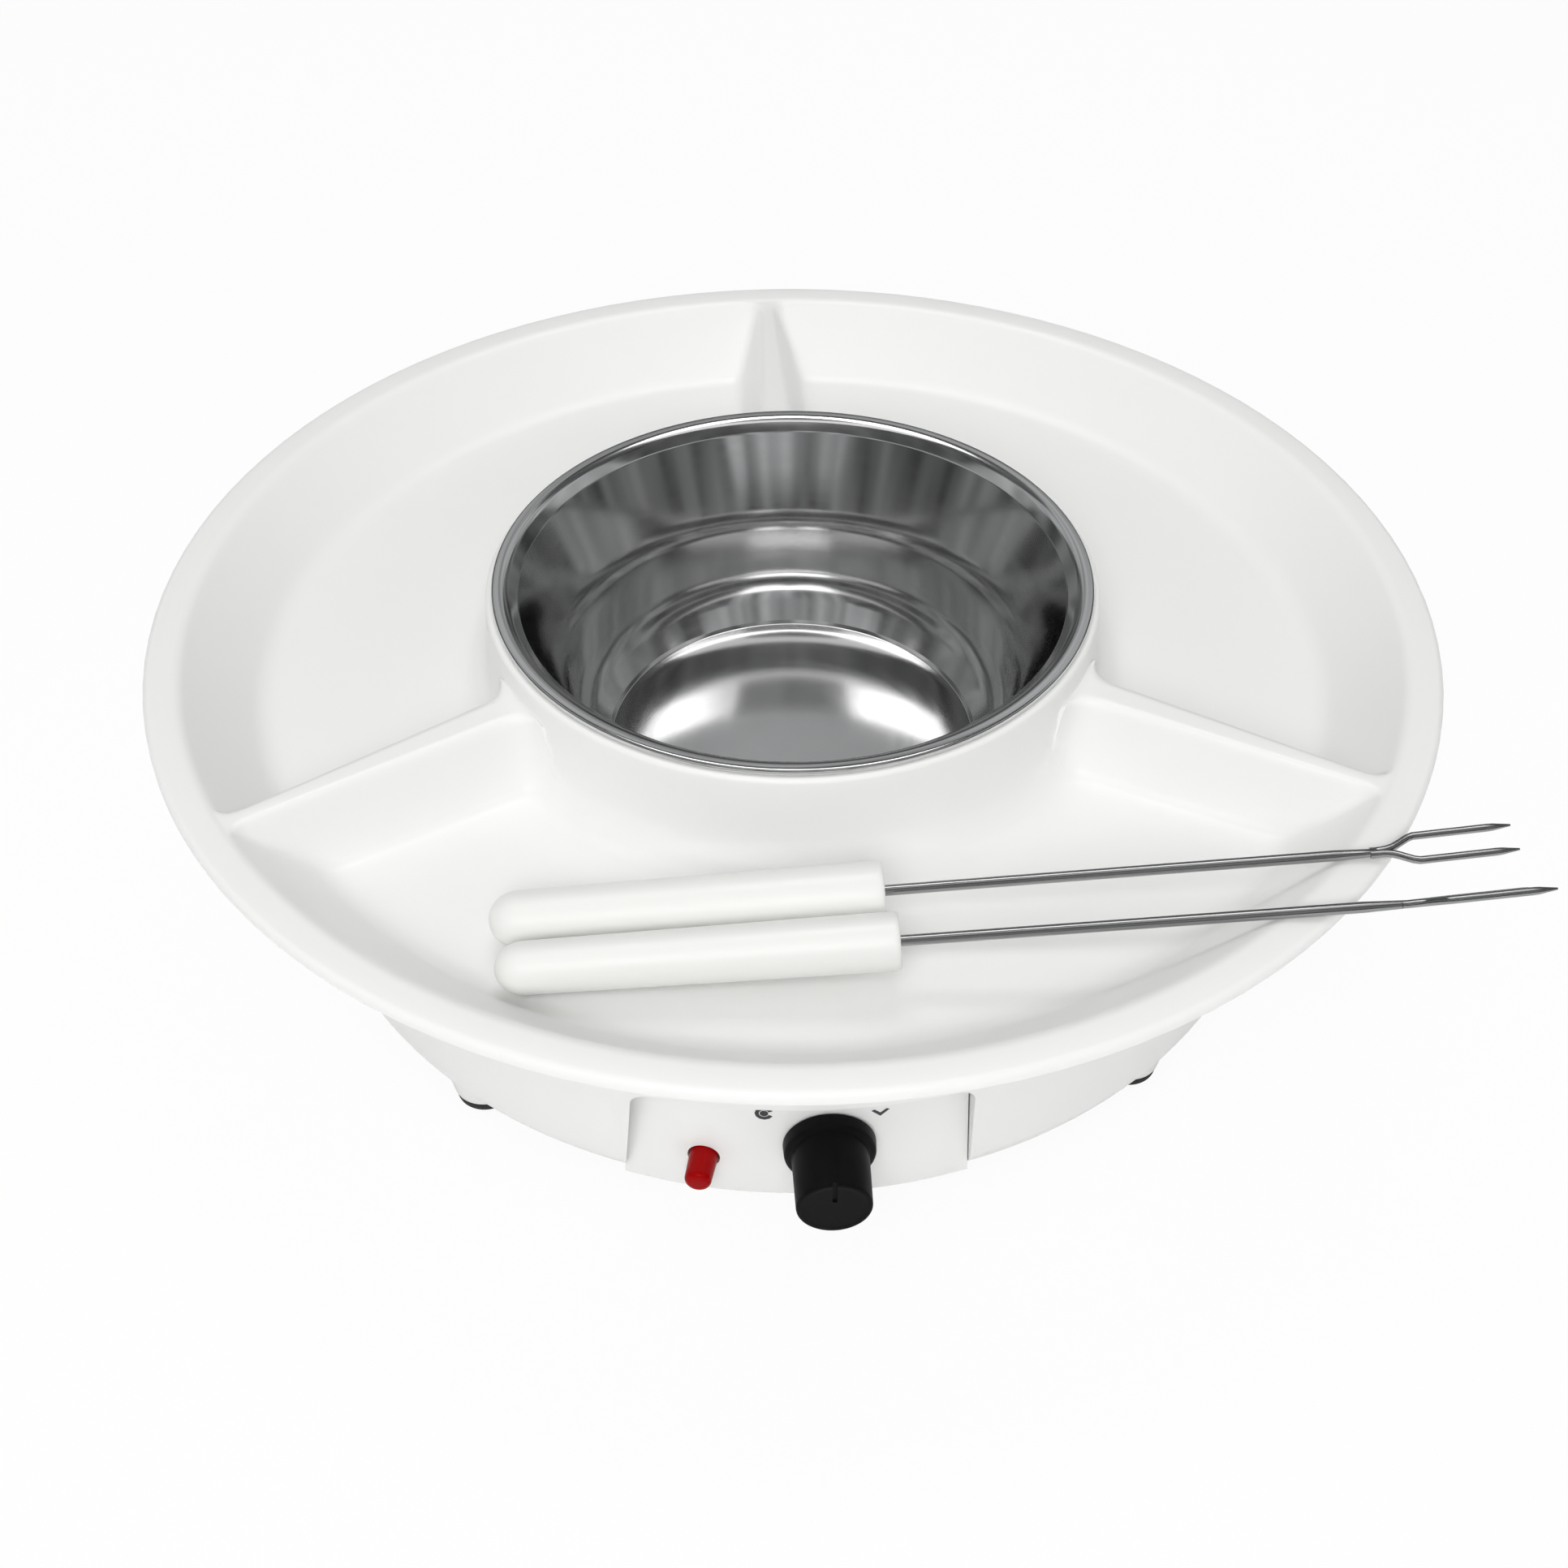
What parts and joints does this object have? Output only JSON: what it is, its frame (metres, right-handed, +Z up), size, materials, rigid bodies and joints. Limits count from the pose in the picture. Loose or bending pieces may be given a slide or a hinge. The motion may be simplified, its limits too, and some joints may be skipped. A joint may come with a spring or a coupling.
{
  "type": "chocolate melter",
  "caption": "Round electric chocolate melter: heated base with knob and lamp, divided serving tray, lift-out steel pot and dipping forks.",
  "frame": {"origin": "on the table, under the centre of the round tray and pot", "axes": "+Z up, the control panel faces -Y, +X to the right seen from the front"},
  "size_m": [0.31, 0.31, 0.0969],
  "materials": {
    "white_plastic": "glossy moulded white",
    "cream_plastic": "satin off-white",
    "handle_plastic": "satin white",
    "black_plastic": "satin black",
    "red_lens": "clear red lens",
    "rubber": "black rubber",
    "polished_steel": "polished stainless steel",
    "fork_steel": "polished stainless wire",
    "aluminium": "plain rolled sheet",
    "zinc": "zinc plated",
    "brass": "turned brass",
    "lead_brown": "brown wire sleeve",
    "lead_blue": "blue wire sleeve"
  },
  "bodies": {
    "base": {"lower_housing": "white_plastic", "bottom_cover": "white_plastic", "control_panel": "white_plastic", "deck": "cream_plastic", "heat_shield": "aluminium", "heater_plate": "aluminium", "heating_element": "zinc", "thermal_cutout": "black_plastic", "cutout_clip": "zinc", "heater_post_1": "zinc", "heater_post_2": "zinc", "heater_post_3": "zinc", "post_screw_1": "zinc", "post_screw_2": "zinc", "post_screw_3": "zinc", "deck_screw_1": "zinc", "deck_screw_2": "zinc", "deck_screw_3": "zinc", "foot_1": "rubber", "foot_2": "rubber", "foot_3": "rubber", "foot_4": "rubber", "cover_screw_1": "zinc", "cover_screw_2": "zinc", "cover_screw_3": "zinc", "cover_screw_4": "zinc", "rotary_switch": "black_plastic", "switch_nut": "brass", "indicator_lens": "red_lens", "lamp_holder": "cream_plastic", "cord_grommet": "rubber", "terminal_block": "cream_plastic", "lead_live": "lead_brown", "lead_switched": "lead_brown", "lead_link": "lead_brown", "lead_neutral": "lead_blue"},
    "knob": {"knob": "black_plastic", "switch_shaft": "zinc"},
    "tray": {"serving_tray": "white_plastic"},
    "pot": {"pot": "polished_steel"},
    "fork_1": {"fork_1_handle": "handle_plastic", "fork_1_tines": "fork_steel"},
    "fork_2": {"fork_2_handle": "handle_plastic", "fork_2_tines": "fork_steel"}
  },
  "joints": [
    {"name": "knob_turn", "type": "hinge", "parent": "base", "child": "knob", "pos_m": [0.002, -0.1203, 0.028], "axis": [0, -1, 0], "range_deg": [-50, 50]},
    {"name": "tray_lift", "type": "slide", "parent": "base", "child": "tray", "axis": [0, 0, 1], "range_m": [0, 0.08]},
    {"name": "pot_lift", "type": "slide", "parent": "tray", "child": "pot", "axis": [0, 0, 1], "range_m": [0, 0.08]},
    {"name": "fork_1_lift", "type": "slide", "parent": "tray", "child": "fork_1", "axis": [0, 0, 1], "range_m": [0, 0.05]},
    {"name": "fork_2_lift", "type": "slide", "parent": "tray", "child": "fork_2", "axis": [0, 0, 1], "range_m": [0, 0.05]}
  ]
}
